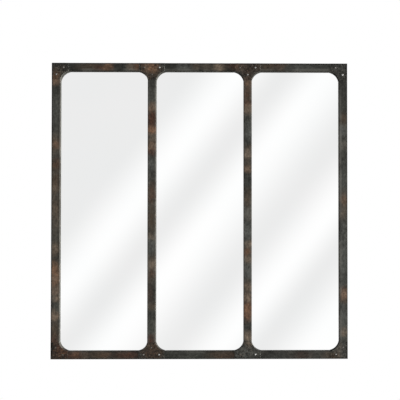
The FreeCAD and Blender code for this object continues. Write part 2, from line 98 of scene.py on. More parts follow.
def add(tree, kind, inputs=None, stops=(), **settings):
    """Adds a node with its settings and links.

    An input is a value, a hex colour, a socket, or a node whose result is linked. Stops are the places and
    levels of a colour ramp, each level a hex colour or a grey number.
    """
    made = tree.nodes.new("ShaderNode" + kind)
    for name, value in settings.items():
        setattr(made, name, value)
    for index, (place, level) in enumerate(stops):
        points = made.color_ramp.elements
        point = points[index] if index < len(points) else points.new(place)
        point.position = place
        point.color = linear(level) if isinstance(level, str) else [level] * 3 + [1]
    for name, value in (inputs or {}).items():
        if isinstance(value, bpy.types.Node):
            value = value.outputs[MIXED if value.bl_idname == "ShaderNodeMix" else 0]
        if isinstance(value, bpy.types.NodeSocket):
            tree.links.new(value, made.inputs[name])
        else:
            made.inputs[name].default_value = linear(value) if isinstance(value, str) else value
    return made


def layered(tree, base, *layers, clamp=False):
    """Patterns laid over each other: a base level and the sum of the patterns, each times its weight."""
    for pattern, weight in layers:
        base = add(tree, "Math", {0: pattern, 1: weight, 2: base}, operation="MULTIPLY_ADD", use_clamp=clamp)
    return base


def drawn_out(along, share):
    """Scale of a mapping that draws a pattern out along one axis, where it keeps only a share of its own."""
    scale = [1.0, 1.0, 1.0]
    scale[along] = share
    return scale


def new_finish(name):
    """An empty material, its nodes, and the part's own coordinates for its patterns."""
    material = bpy.data.materials.new(name)
    material.use_nodes = True
    tree = material.node_tree
    tree.nodes.clear()
    return material, tree, add(tree, "TexCoord").outputs["Object"]


def close_finish(tree, inputs):
    """Adds the shader that a material ends in."""
    add(tree, "OutputMaterial", {"Surface": add(tree, "BsdfPrincipled", inputs)})


def dress(material, *names):
    """Gives a finish to CAD nodes."""
    for name in names:
        for slot in frame["nodes"][name].material_slots:
            slot.material = material


# Rust on the frame: what it is like, and where it lies

# Dark and light colour of each kind, which lies over the kinds before it. Umber is a thin bloom under the
# wax, maroon is old and dark, copper is thick and young, ash is rubbed pale, grey is bare steel that shows
# through, and soot is thick blackening.
RUSTS = {
    "umber": ("#392f25", "#5c4c3d"),
    "maroon": ("#2b1c16", "#543a2e"),
    "copper": ("#543c2e", "#866750"),
    "ash": ("#50473d", "#7c6d5e"),
    "grey": ("#444542", "#666763"),
    "soot": ("#13110f", "#2b2622"),
}

# Sizes in rust, in mm
RUST_DRIFT = 14.0  # by which the outline of a bloom wanders
RUST_OUTLINE = 22.0  # from one point of that outline to the next
RUST_CLOUD = 40.0
RUST_GRAIN = 9.0
RUST_SPECK = 5.0
RUST_GRIT = 1.2

# A bloom is full within the first share of its half length and is gone at the second
BLOOM_FULL, BLOOM_GONE = 0.1, 1.55
BLOOM_OVERHANG = 1.3  # how far a bloom on a bar reaches across it, in half widths of the bar's face

# Blooms along each bar: middle and half length in mm, from the left or the top, place across the face
# from -1 at its left or upper edge to 1 at the other, and strength
BAR_RUST = {
    "top_rail": {
        "umber": ((118, 40, 0, 0.5), (278, 20, -0.1, 0.6), (690, 34, 0, 0.55), (735, 26, -0.3, 0.5)),
        "maroon": ((155, 16, 0.4, 0.7), (278, 16, -0.6, 0.5), (588, 28, -0.4, 0.65), (720, 24, -0.4, 0.35)),
        "copper": ((179, 16, 0, 0.65), (276, 12, 0.1, 0.35)),
        "ash": ((255, 12, 0, 0.6), (462, 15, -0.4, 0.45), (495, 22, 0, 0.3), (536, 19, 0.1, 0.95)),
        "grey": ((410, 14, 0.2, 0.5), (432, 14, 0.3, 0.45), (800, 80, 0.2, 0.3)),
    },
    "bottom_rail": {
        "umber": ((150, 32, -0.2, 0.5), (545, 48, 0, 0.5), (888, 26, 0, 0.5)),
        "maroon": ((70, 46, -0.1, 0.8), (240, 48, 0, 0.8), (560, 40, 0.3, 0.3), (805, 46, 0.2, 0.4)),
        "copper": ((82, 13, -0.4, 0.4), (172, 20, 0, 0.3)),
        "ash": ((109, 10, 0.3, 0.4),),
        "grey": ((740, 60, 0.5, 0.3), (850, 40, 0.5, 0.25)),
        "soot": ((120, 44, 0, 0.3), (210, 46, -0.2, 0.4), (300, 30, 0.2, 0.3), (740, 90, -0.7, 0.4)),
    },
    "left_stile": {
        "umber": ((262, 34, 0, 0.6), (330, 24, 0.1, 0.7), (382, 44, 0, 0.65), (462, 46, 0.2, 0.4),
                  (598, 30, 0, 0.4), (650, 22, 0, 0.6), (858, 34, 0, 0.6)),
        "maroon": ((326, 18, 0.3, 0.45), (736, 10, 0.3, 0.5), (900, 26, -0.2, 0.8)),
        "copper": ((48, 22, -0.2, 0.8), (264, 15, 0.1, 0.5), (680, 38, 0, 0.95), (815, 10, -0.1, 0.4)),
        "ash": ((50, 16, -0.4, 0.45), (406, 14, -0.4, 0.5), (500, 60, 0.1, 0.3), (596, 18, 0, 0.55),
                (692, 13, -0.1, 0.5), (734, 20, 0, 0.6), (757, 12, 0.3, 0.85), (812, 18, -0.1, 0.8)),
        "grey": ((170, 60, 0, 0.25),),
    },
    "left_mullion": {
        "umber": ((420, 36, 0, 0.8), (500, 58, 0, 0.55), (628, 16, 0, 0.5), (682, 26, 0, 0.5),
                  (782, 13, 0, 0.55)),
        "maroon": ((180, 32, 0, 1.0), (286, 14, 0, 0.75), (424, 26, 0.1, 0.5), (678, 18, 0.2, 0.45),
                   (740, 32, -0.6, 0.4), (888, 16, 0, 0.75)),
        "copper": ((144, 16, 0, 0.45), (216, 14, 0, 0.95), (266, 15, 0, 0.6)),
        "ash": ((143, 16, 0, 0.5), (240, 14, 0, 0.6), (267, 12, 0, 0.55), (560, 11, 0, 0.5),
                (648, 17, 0.1, 1.0)),
        "grey": ((332, 18, -0.2, 0.5), (590, 24, 0, 0.4)),
    },
    "right_mullion": {
        "umber": ((98, 32, -0.1, 0.75), (275, 14, 0, 0.5), (330, 24, 0, 0.5), (435, 30, 0, 0.75),
                  (610, 24, 0, 0.6), (716, 24, -0.3, 0.6)),
        "maroon": ((98, 26, -0.2, 0.5), (127, 11, 0, 0.75), (608, 18, -0.2, 0.6), (796, 34, 0, 0.7)),
        "copper": ((62, 14, 0, 0.5), (146, 20, 0, 0.4), (342, 12, 0, 0.35), (606, 12, 0, 0.4),
                   (755, 16, 0, 0.4), (795, 30, 0, 0.85)),
        "ash": ((150, 18, 0.1, 0.85), (295, 15, 0, 1.0), (342, 11, 0, 0.45), (490, 18, 0.3, 0.4),
                (580, 12, 0.3, 0.95), (630, 14, 0.2, 0.75), (722, 14, 0.6, 0.7), (755, 15, 0.2, 0.95),
                (878, 19, 0, 0.9)),
        "grey": ((222, 26, 0.6, 0.65), (490, 22, 0.2, 0.5), (540, 30, 0, 0.75), (676, 22, 0.1, 0.55)),
    },
    "right_stile": {
        "umber": ((182, 26, 0.2, 0.5), (440, 34, 0.1, 0.75), (485, 20, 0, 0.5), (766, 10, 0, 0.5)),
        "copper": ((440, 20, 0, 0.35), (741, 20, -0.1, 0.9)),
        "ash": ((265, 13, -0.2, 0.5), (485, 20, -0.3, 0.4), (741, 14, -0.3, 0.4), (862, 14, 0, 0.8)),
        "grey": ((215, 20, -0.5, 0.85), (265, 14, -0.2, 0.6), (390, 60, 0, 0.35), (600, 120, 0, 0.55),
                 (577, 9, -0.3, 0.6), (664, 14, 0, 0.6), (810, 45, 0, 0.6)),
    },
}

# Blooms on the plates: middle across and up from the middle of the mirror, half width and half height,
# all in mm, and strength
PLATE_RUST = {
    "umber": (
        (-462, 425, 18, 34, 0.55), (-157, 450, 34, 24, 0.45), (125, 464, 30, 20, 0.35),
        (185, 462, 22, 16, 0.3), (154, 425, 16, 26, 0.3), (-146, -446, 30, 30, 0.75),
        (430, -466, 30, 14, 0.45), (-455, -415, 20, 26, 0.2),
    ),
    "maroon": (
        (-434, -446, 34, 30, 1.1), (-150, -452, 30, 24, 0.25), (120, 466, 24, 16, 0.6),
        (152, 455, 26, 22, 0.3), (-165, 470, 30, 12, 0.5), (154, 420, 14, 20, 0.4),
    ),
    "copper": ((-157, 461, 24, 17, 0.85), (-435, -448, 12, 14, 0.3), (-463, 430, 12, 22, 0.35)),
    "ash": ((-172, 462, 8, 12, 0.5), (154, -415, 14, 22, 0.65), (445, -440, 14, 26, 0.35)),
    "grey": ((150, -455, 34, 24, 0.35), (455, -445, 24, 34, 0.3), (450, 450, 34, 34, 0.15)),
    "soot": (
        (-468, -425, 14, 46, 1.0), (-440, -472, 44, 9, 0.9), (-445, -445, 46, 46, 0.6),
        (-154, -425, 12, 14, 0.6), (-182, -464, 14, 12, 0.6), (-150, -455, 46, 26, 0.8),
        (160, 452, 28, 18, 0.55), (-440, 455, 22, 16, 0.4), (-464, 428, 16, 30, 0.3),
        (-154, 430, 14, 16, 0.55), (-180, 450, 14, 12, 0.55), (-130, 450, 12, 14, 0.5),
    ),
}


def across_face(along):
    """The axis across the face of a bar: level on an upright bar, upright on a rail."""
    return UP if along == ACROSS else ACROSS


def bar_blooms(name, along, kind):
    """The blooms of one rust on a bar, in the form of those on the plates."""
    low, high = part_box(name)
    axis = across_face(along)
    half_face = (high[axis] - low[axis]) / 2 / MM
    middle = (high[axis] + low[axis]) / 2 / MM
    reach = BLOOM_OVERHANG * half_face
    for at, half_length, across, strength in BAR_RUST[name].get(kind, ()):
        if along == ACROSS:
            yield CAD_LOW[ACROSS] / MM + at, middle - across * half_face, half_length, reach, strength
        else:
            yield middle + across * half_face, CAD_HIGH[UP] / MM - at, reach, half_length, strength


def bloom_strength(tree, place, blooms):
    """Strength of one rust over the frame, the most of its rounded blooms."""
    strongest = 0.0
    for x, z, half_width, half_height, strength in blooms:
        reach = (1 / (half_width * MM), 0, 1 / (half_height * MM))
        offset = (-x / half_width, 0, -z / half_height)
        spot = add(tree, "VectorMath", {0: place, 1: reach, 2: offset}, operation="MULTIPLY_ADD")
        away = add(tree, "VectorMath", {0: spot}, operation="LENGTH").outputs["Value"]
        bloom = add(tree, "MapRange", {"Value": away, "From Min": BLOOM_GONE, "From Max": BLOOM_FULL,
                                       "To Max": strength}, interpolation_type="SMOOTHSTEP")
        strongest = add(tree, "Math", {0: strongest, 1: bloom}, operation="MAXIMUM")
    return strongest


def ragged(tree, place):
    """The part's coordinates, pulled about so that blooms get ragged outlines."""
    drift = RUST_DRIFT * MM
    pull = add(tree, "TexNoise", {"Vector": place, "Scale": per_mm(RUST_OUTLINE), "Detail": 3.0,
                                  "Roughness": 0.65}).outputs["Color"]
    pulled = add(tree, "VectorMath", {0: pull, 1: [2 * drift] * 3, 2: place}, operation="MULTIPLY_ADD")
    return add(tree, "VectorMath", {0: pulled, 1: [-drift] * 3}, operation="ADD")


def rusted(tree, place, colour, strengths):
    """Lays rusts over a colour where they are strong. Returns the new colour and how far it is covered."""
    grain = add(tree, "TexNoise", {"Vector": place, "Scale": per_mm(RUST_GRAIN), "Detail": 4.0,
                                   "Roughness": 0.6})
    cloud = add(tree, "TexNoise", {"Vector": place, "Scale": per_mm(RUST_CLOUD), "Detail": 2.0})
    speck = add(tree, "TexNoise", {"Vector": place, "Scale": per_mm(RUST_SPECK), "Detail": 3.0})
    grit = add(tree, "TexNoise", {"Vector": place, "Scale": per_mm(RUST_GRIT), "Detail": 2.0})
    fleck = layered(tree, speck, (grit, 1.2))
    fleck = add(tree, "MapRange", {"Value": fleck, "From Min": 0.8, "From Max": 1.4})
    broken = layered(tree, -0.15, (cloud, 0.6), (grain, 1.5))
    covered = 0.0
    for kind, strength in strengths.items():
        mask = add(tree, "Math", {0: strength, 1: broken}, operation="MULTIPLY", use_clamp=True)
        dark, light = RUSTS[kind]
        rust = add(tree, "Mix", {SHARE: fleck, UNDER: dark, OVER: light}, data_type="RGBA")
        colour = add(tree, "Mix", {SHARE: mask, UNDER: colour, OVER: rust}, data_type="RGBA")
        covered = add(tree, "Math", {0: covered, 1: mask}, operation="MAXIMUM")
    return colour, covered


def speckled(tree, place, colour, size, contrast):
    """Lightens and darkens a colour in specks of that many millimetres."""
    speck = add(tree, "TexNoise", {"Vector": place, "Scale": per_mm(size), "Detail": 4.0, "Roughness": 0.75})
    level = add(tree, "ValToRGB", {"Fac": speck}, ((0.3, 1 - contrast), (0.5, 1.0), (0.7, 1 + contrast)))
    return add(tree, "Mix", {SHARE: 1.0, UNDER: colour, OVER: level}, data_type="RGBA",
               blend_type="MULTIPLY")


# Edges and walls of the frame: painted edge shade, painted edge highlights partly from rubbing, bare walls

# Near-black of the painted shade along edges, and the colour of bare steel
PAINTED_EDGE_SHADE = "#0e0e0d"
BARE_STEEL = "#6a6963"

# How dark the painted shade is on the left or upper, and the right or lower, edge of each bar
EDGE_PAINTED_DARKNESS = {
    "top_rail": (0.7, 0.35),
    "bottom_rail": (0.35, 0.65),
    "left_stile": (0.95, 0.45),
    "left_mullion": (0.1, 0.0),
    "right_mullion": (0.4, 0.0),
    "right_stile": (0.5, 0.55),
}

# How bright the same edges are painted: a painted highlight, partly rubbed wear
EDGE_HIGHLIGHT_AND_WEAR = {
    "top_rail": (0.0, 0.4),
    "bottom_rail": (0.2, 0.0),
    "left_stile": (0.0, 0.0),
    "left_mullion": (0.2, 0.2),
    "right_mullion": (0.15, 0.2),
    "right_stile": (0.55, 0.0),
}

# Widths over which these fade, in mm
PAINTED_SHADE_FADE = 4.5
HIGHLIGHT_AND_WEAR_FADE = 10.0

# Outer edges of the plates: width in mm over which their painted shade fades, and how dark it is at the two
# edges
PLATE_SIDES = (7.0, 0.9, 0.8)  # left and right
PLATE_ENDS = (6.0, 0.7, 0.8)  # top and bottom

EDGE_FULL = 0.3  # share of a fade over which it stays full


def along_edges(tree, position, first, last, fade, at_first, at_last):
    """A share that is full at two edges and fades away from them over some millimetres."""
    across = add(tree, "MapRange", {"Value": position, "From Min": first, "From Max": last})
    gone = fade * MM / abs(last - first)
    full = EDGE_FULL * gone
    return add(tree, "ValToRGB", {"Fac": across}, ((0.0, at_first), (full, at_first), (gone, 0.0),
                                                   (1 - gone, 0.0), (1 - full, at_last), (1.0, at_last)))


def on_front(tree, wall, share):
    """Takes most of what lies along the edges off the walls behind the front."""
    front = layered(tree, 1.0, (wall, -0.8))
    return add(tree, "Math", {0: front, 1: share}, operation="MULTIPLY")


def close_waxed_steel(tree, colour, sheen, covered, black, wall, bump):
    """Ends a finish in wax, which is duller over rust and the painted edge shade and missing on the walls.
    """
    gloss = layered(tree, sheen, (covered, 0.2), (black, 0.5), (wall, 0.5), clamp=True)
    close_finish(tree, {"Base Color": colour, "Roughness": gloss, "Normal": bump, "Metallic": 0.05,
                        "Specular IOR Level": 0.12})


# Tubes, sizes in mm
TUBE_EDGE_RADIUS = 3.0
WALL_START = 0.8  # depth behind the front at which the rounded edge starts to count as wall
DRAWN_STREAK = 2.5
STREAK_STRETCH = 0.05  # so a streak is twenty times as long as wide
MILL_SCALE = 6.0
WAX_CLOUD = 55.0
TUBE_SPECK = 8.0
TUBE_SPECK_STRETCH = 0.6
TUBE_SPECK_CONTRAST = 0.5
TUBE_RELIEF = 0.4
RAIL_TONE, UPRIGHT_TONE = -0.79, -0.6  # the rails are darker


def tube_steel(name, along):
    """Drawn steel tube, blackened and waxed over rust.

    Dark grey-green with faint drawn streaks, rust blooms, painted edge shade, and painted edge highlights
    with wear.
    """
    material, tree, place = new_finish("waxed_black_steel_" + name)
    low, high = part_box(name)
    axis = across_face(along)

    drawn = add(tree, "Mapping", {"Vector": place, "Scale": drawn_out(along, STREAK_STRETCH)})
    drawn_specks = add(tree, "Mapping", {"Vector": place, "Scale": drawn_out(along, TUBE_SPECK_STRETCH)})
    streak = add(tree, "TexNoise", {"Vector": drawn, "Scale": per_mm(DRAWN_STREAK), "Detail": 3.0})
    mottle = add(tree, "TexNoise", {"Vector": place, "Scale": per_mm(MILL_SCALE), "Detail": 4.0,
                                    "Roughness": 0.6})
    shade = add(tree, "TexNoise", {"Vector": place, "Scale": per_mm(WAX_CLOUD), "Detail": 3.0})
    base = RAIL_TONE if along == ACROSS else UPRIGHT_TONE
    tone = layered(tree, base, (shade, 0.7), (streak, 0.7), (mottle, 0.8))
    steel = add(tree, "ValToRGB", {"Fac": tone}, ((0.2, "#20201d"), (0.5, "#343430"), (0.8, "#4b4b45")))
    pulled = ragged(tree, place)
    strengths = {kind: bloom_strength(tree, pulled, bar_blooms(name, along, kind)) for kind in RUSTS}
    colour, covered = rusted(tree, place, steel, strengths)
    colour = speckled(tree, drawn_specks, colour, TUBE_SPECK, TUBE_SPECK_CONTRAST)

    # The walls behind the front were neither blackened nor waxed.
    xyz = add(tree, "SeparateXYZ", {0: place})
    front = low[DEEP]
    wall = add(tree, "MapRange", {"Value": xyz.outputs[DEEP], "From Min": front + WALL_START * MM,
                                  "From Max": front + TUBE_EDGE_RADIUS * MM},
               interpolation_type="SMOOTHSTEP")
    scuffed = add(tree, "ValToRGB", {"Fac": tone}, ((0.1, "#3d3c38"), (0.45, BARE_STEEL), (0.8, "#8a8880")))
    bare = layered(tree, 0.0, (wall, 0.75), (covered, -0.35), clamp=True)
    colour = add(tree, "Mix", {SHARE: bare, UNDER: colour, OVER: scuffed}, data_type="RGBA")

    first, last = (high[axis], low[axis]) if along == ACROSS else (low[axis], high[axis])
    # Painted highlight along some edges, partly rubbed wear, in a pale steel grey
    rubbed = along_edges(tree, xyz.outputs[axis], first, last, HIGHLIGHT_AND_WEAR_FADE, *EDGE_HIGHLIGHT_AND_WEAR[name])
    worn = add(tree, "MapRange", {"Value": shade, "From Min": 0.38, "From Max": 0.62})
    rubbed = add(tree, "Math", {0: on_front(tree, wall, rubbed), 1: worn}, operation="MULTIPLY")
    colour = add(tree, "Mix", {SHARE: rubbed, UNDER: colour, OVER: "#74726c"}, data_type="RGBA")
    # Painted shade: near-black along the edges of the bar
    black = along_edges(tree, xyz.outputs[axis], first, last, PAINTED_SHADE_FADE, *EDGE_PAINTED_DARKNESS[name])
    black = on_front(tree, wall, black)
    colour = add(tree, "Mix", {SHARE: black, UNDER: colour, OVER: PAINTED_EDGE_SHADE}, data_type="RGBA")

    relief = add(tree, "Math", {0: mottle, 1: covered}, operation="MULTIPLY")
    relief = layered(tree, relief, (streak, 0.3))
    bump = add(tree, "Bump", {"Height": relief, "Strength": 0.5, "Distance": TUBE_RELIEF * MM})
    sheen = layered(tree, 0.36, (streak, 0.3))
    close_waxed_steel(tree, colour, sheen, covered, black, wall, bump)
    return material


# Plates, sizes in mm
PLATE_PITTING = 5.0
PLATE_CLOUD = 30.0
PLATE_SPECK = 7.0
PLATE_SPECK_CONTRAST = 0.95
PLATE_FLECK = 3.2
PLATE_RELIEF = 0.4


def gusset_steel():
    """Flame-cut plate, blackened and waxed.

    Pitted dark grey with pale or rusty flecks, rust blooms, and a rubbed rim that is also a painted
    highlight.
    Its sides carry painted light and shade, and its outer edges painted shade.
    """
    material, tree, place = new_finish("pitted_black_plate")
    pitting = add(tree, "TexNoise", {"Vector": place, "Scale": per_mm(PLATE_PITTING), "Detail": 4.0,
                                     "Roughness": 0.65})
    shade = add(tree, "TexNoise", {"Vector": place, "Scale": per_mm(PLATE_CLOUD), "Detail": 2.0})
    tone = layered(tree, -0.6, (shade, 0.6), (pitting, 1.5))
    steel = add(tree, "ValToRGB", {"Fac": tone}, ((0.2, "#171715"), (0.5, "#292926"), (0.85, "#494944")))
    pulled = ragged(tree, place)
    strengths = {kind: bloom_strength(tree, pulled, PLATE_RUST[kind]) for kind in RUSTS}
    colour, covered = rusted(tree, place, steel, strengths)
    colour = speckled(tree, place, colour, PLATE_SPECK, PLATE_SPECK_CONTRAST)
    flecks = add(tree, "TexNoise", {"Vector": place, "Scale": per_mm(PLATE_FLECK), "Detail": 3.0,
                                    "Roughness": 0.65})
    shown = add(tree, "MapRange", {"Value": flecks, "From Min": 0.55, "From Max": 0.72, "To Max": 0.8})
    fleck = add(tree, "Mix", {SHARE: covered, UNDER: "#63635d", OVER: "#835c3a"}, data_type="RGBA")
    colour = add(tree, "Mix", {SHARE: shown, UNDER: colour, OVER: fleck}, data_type="RGBA")

    # Painted light and shade: sides that face right or down are painted pale bare steel as if lit, the
    # others near-black shade.
    facing = add(tree, "SeparateXYZ", {0: place.node.outputs["Normal"]})
    front = add(tree, "MapRange", {"Value": facing.outputs[DEEP], "From Min": 0.0, "From Max": -1.0})
    wall = add(tree, "MapRange", {"Value": front, "From Min": 0.3, "From Max": 0.05})
    facing_the_light = layered(tree, facing.outputs[ACROSS], (facing.outputs[UP], -0.6))
    facing_the_light = add(tree, "MapRange", {"Value": facing_the_light, "From Min": -1.0})
    side = add(tree, "ValToRGB", {"Fac": facing_the_light}, ((0.45, "#11110f"), (0.8, BARE_STEEL)))
    bare = add(tree, "Math", {0: wall, 1: 0.75}, operation="MULTIPLY")
    colour = add(tree, "Mix", {SHARE: bare, UNDER: colour, OVER: side}, data_type="RGBA")

    # The rim is where the surface turns from the front to the side. It is painted pale as rubbed wear, and
    # brightest where it faces right, which is a painted highlight; not under soot.
    rim = add(tree, "ValToRGB", {"Fac": front},
              ((0.0, 0.0), (0.25, 0.0), (0.5, 1.0), (0.8, 1.0), (0.97, 0.0)))
    worn = add(tree, "MapRange", {"Value": pitting, "From Min": 0.35, "From Max": 0.6})
    right_facing_highlight = add(tree, "MapRange", {"Value": facing.outputs[ACROSS], "From Min": 0.35, "From Max": 0.6,
                                     "To Min": 0.3, "To Max": 1.0})
    clean = layered(tree, 1.0, (strengths["soot"], -3.0), clamp=True)
    rubbed = rim
    for share in (worn, right_facing_highlight, clean):
        rubbed = add(tree, "Math", {0: rubbed, 1: share}, operation="MULTIPLY")
    colour = add(tree, "Mix", {SHARE: rubbed, UNDER: colour, OVER: "#96948c"}, data_type="RGBA")

    # Painted shade: near-black along the plate edges that lie on the frame's outer edges
    xyz = add(tree, "SeparateXYZ", {0: place})
    sides = along_edges(tree, xyz.outputs[ACROSS], CAD_LOW[ACROSS], CAD_HIGH[ACROSS], *PLATE_SIDES)
    ends = along_edges(tree, xyz.outputs[UP], CAD_HIGH[UP], CAD_LOW[UP], *PLATE_ENDS)
    black = on_front(tree, wall, add(tree, "Math", {0: sides, 1: ends}, operation="MAXIMUM"))
    colour = add(tree, "Mix", {SHARE: black, UNDER: colour, OVER: PAINTED_EDGE_SHADE}, data_type="RGBA")

    bump = add(tree, "Bump", {"Height": pitting, "Strength": 0.6, "Distance": PLATE_RELIEF * MM})
    sheen = layered(tree, 0.34, (pitting, 0.35))
    close_waxed_steel(tree, colour, sheen, covered, black, wall, bump)
    return material


# Rivets, sizes in mm
RIVET_CROWN, RIVET_FOOT = 0.3, 1.6  # depths behind the top of a head
RIVET_DENT = 2.0
RIVET_RELIEF = 0.3
RIVET_CHANGE = 40.0  # over which brightness drifts, so that it differs from head to head
DULL_REACH = 14.0  # covers one head and not the next

# Rivets that are less bright than the rest: centre across and up from the middle of the mirror, in mm,
# and by how much
DULL_RIVETS = (
    (-437, 461, 0.35), (-460, 440, 0.25), (437, 461, 0.3),
    (-178, 461, 0.5), (-154, 440, 0.6), (130, 461, 0.35), (154, 440, 0.3), (178, 461, 0.1),
    (-437, -461, 0.85), (-460, -440, 0.85), (460, -440, 0.35), (437, -461, 0.15),
    (-178, -461, 0.45), (-154, -440, 0.45), (130, -461, 0.8), (154, -440, 0.8),
)


def rivet_steel():
    """Hammered steel rivet: crown rubbed bright by handling, black wax and rust left round its foot."""
    material, tree, place = new_finish("rubbed_rivet_steel")
    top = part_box("corner_rivets")[0][DEEP]
    depth = add(tree, "SeparateXYZ", {0: place}).outputs[DEEP]
    crown = add(tree, "MapRange", {"Value": depth, "From Min": top + RIVET_FOOT * MM,
                                   "From Max": top + RIVET_CROWN * MM}, interpolation_type="SMOOTHSTEP")
    dull = bloom_strength(tree, place, [(x, z, DULL_REACH, DULL_REACH, loss) for x, z, loss in DULL_RIVETS])
    dent = add(tree, "TexNoise", {"Vector": place, "Scale": per_mm(RIVET_DENT), "Detail": 3.0})
    each = add(tree, "TexNoise", {"Vector": place, "Scale": per_mm(RIVET_CHANGE), "Detail": 0.0})
    bright = add(tree, "MapRange", {"Value": each, "From Min": 0.3, "From Max": 0.7, "To Min": 0.75,
                                    "To Max": 1.05})
    bright = add(tree, "Math", {0: bright, 1: crown}, operation="MULTIPLY")
    bright = layered(tree, bright, (dull, -1.0), (dent, -0.3), clamp=True)
    colour = add(tree, "ValToRGB", {"Fac": bright}, ((0.0, "#403b35"), (0.3, "#585551"), (0.8, "#b8b8b6")))
    gloss = add(tree, "MapRange", {"Value": bright, "To Min": 0.6, "To Max": 0.36})
    bump = add(tree, "Bump", {"Height": dent, "Strength": 0.5, "Distance": RIVET_RELIEF * MM})
    close_finish(tree, {"Base Color": colour, "Roughness": gloss, "Normal": bump, "Metallic": 0.5,
                        "Specular IOR Level": 0.3})
    return material


# Glass, sizes in mm
GLASS_CAST = 260.0
WIPE_MARK = 25.0
WIPE_LENGTH = 7  # times its width
WIPE_TURN = math.radians(35)


def mirror_glass():
    """Silvered float glass.

    A clear, neutral reflection with the faintest cast and a breath of haze from wiping.
    """
    material, tree, place = new_finish("silvered_float_glass")
    cast = add(tree, "TexNoise", {"Vector": place, "Scale": per_mm(GLASS_CAST), "Detail": 1.0})
    colour = add(tree, "ValToRGB", {"Fac": cast}, ((0.3, "#fdfefe"), (0.7, "#ffffff")))
    swipe = add(tree, "Mapping", {"Vector": place, "Rotation": (0, WIPE_TURN, 0),
                                  "Scale": (1, 1, WIPE_LENGTH)}, vector_type="TEXTURE")
    haze = add(tree, "TexNoise", {"Vector": swipe, "Scale": per_mm(WIPE_MARK), "Detail": 3.0})
    gloss = add(tree, "MapRange", {"Value": haze, "From Min": 0.35, "From Max": 0.75, "To Min": 0.0,
                                   "To Max": 0.02})
    close_finish(tree, {"Base Color": colour, "Roughness": gloss, "Metallic": 1.0})
    return material


# Foam and rubber, sizes in mm
FOAM_CELL = 2.0  # drawn at least twice as wide as real to show
FOAM_RELIEF = 0.3
RUBBER_SKIN = 1.5
RUBBER_RELIEF = 0.2
BLOCK_BLOOM = 12.0
BUMPER_BLOOM = 6.0


def foam_tape():
    """Black closed-cell foam tape: matt and pinholed."""
    material, tree, place = new_finish("closed_cell_foam")
    cells = add(tree, "TexVoronoi", {"Vector": place, "Scale": per_mm(FOAM_CELL)})
    colour = add(tree, "ValToRGB", {"Fac": cells}, ((0.05, "#0d0d0d"), (0.6, "#222221")))
    bump = add(tree, "Bump", {"Height": cells, "Strength": 0.6, "Distance": FOAM_RELIEF * MM})
    close_finish(tree, {"Base Color": colour, "Roughness": 0.9, "Normal": bump, "Specular IOR Level": 0.2})
    return material


def black_rubber(name, bloom):
    """Moulded black rubber: satin skin with a greyish bloom where it has aged."""
    material, tree, place = new_finish(name)
    aged = add(tree, "TexNoise", {"Vector": place, "Scale": per_mm(bloom), "Detail": 4.0})
    skin = add(tree, "TexNoise", {"Vector": place, "Scale": per_mm(RUBBER_SKIN), "Detail": 2.0})
    colour = add(tree, "ValToRGB", {"Fac": aged}, ((0.35, "#161616"), (0.75, "#3a3936")))
    gloss = add(tree, "MapRange", {"Value": aged, "From Min": 0.3, "From Max": 0.7, "To Min": 0.5,
                                   "To Max": 0.75})
    bump = add(tree, "Bump", {"Height": skin, "Strength": 0.3, "Distance": RUBBER_RELIEF * MM})
    close_finish(tree, {"Base Color": colour, "Roughness": gloss, "Normal": bump, "IOR": 1.52})
    return material


# Spacers, sizes in mm
YEAR_RING = 3.0
WOOD_FIBRE = 0.8  # a bundle of fibres, because single ones are too fine to show
GRAIN_STRETCH = 0.03
WOOD_RELIEF = 0.2


def softwood(name, along):
    """Planed spruce, browned with age.

    Honey wood with darker late-wood lines along it, and a dry, furred skin.
    """
    material, tree, place = new_finish(name)
    lengthwise = add(tree, "Mapping", {"Vector": place, "Scale": drawn_out(along, GRAIN_STRETCH)})
    rings = add(tree, "TexNoise", {"Vector": lengthwise, "Scale": per_mm(YEAR_RING), "Detail": 4.0,
                                   "Roughness": 0.6})
    fibre = add(tree, "TexNoise", {"Vector": lengthwise, "Scale": per_mm(WOOD_FIBRE), "Detail": 2.0})
    tone = layered(tree, -0.15, (fibre, 0.3), (rings, 1.0))
    colour = add(tree, "ValToRGB", {"Fac": tone}, ((0.36, "#45362a"), (0.5, "#66533f"), (0.66, "#7e6950")))
    gloss = add(tree, "MapRange", {"Value": rings, "From Min": 0.3, "From Max": 0.7, "To Min": 0.55,
                                   "To Max": 0.75})
    bump = add(tree, "Bump", {"Height": fibre, "Strength": 0.4, "Distance": WOOD_RELIEF * MM})
    close_finish(tree, {"Base Color": colour, "Roughness": gloss, "Normal": bump, "Specular IOR Level": 0.3})
    return material


# Backing board, sizes in mm
BOARD_CLOUD = 170.0
FIBRE_WIDTH = 2.4  # drawn coarser than real to show
FIBRE_LENGTH = 5  # times its width
FIBRE_TURNS = [math.radians(degrees) for degrees in (8, 41, 77, 118, 152)]  # by which the fibres lie
SHRED_SPACING = 12.0
FUR_LENGTH = 8.0  # by which the thickest felt carries the paler rim inwards
RIM_STARTS, RIM_FULL = 1.0, -4.0  # distances from the edge, after the fur is taken off
SCREEN_SPACING = 3.0  # drawn twice as wide as real to show
WAVE_SCALE = math.pi / 10  # at which the lines of a wave pattern are one unit apart
BOARD_RELIEF = 0.4


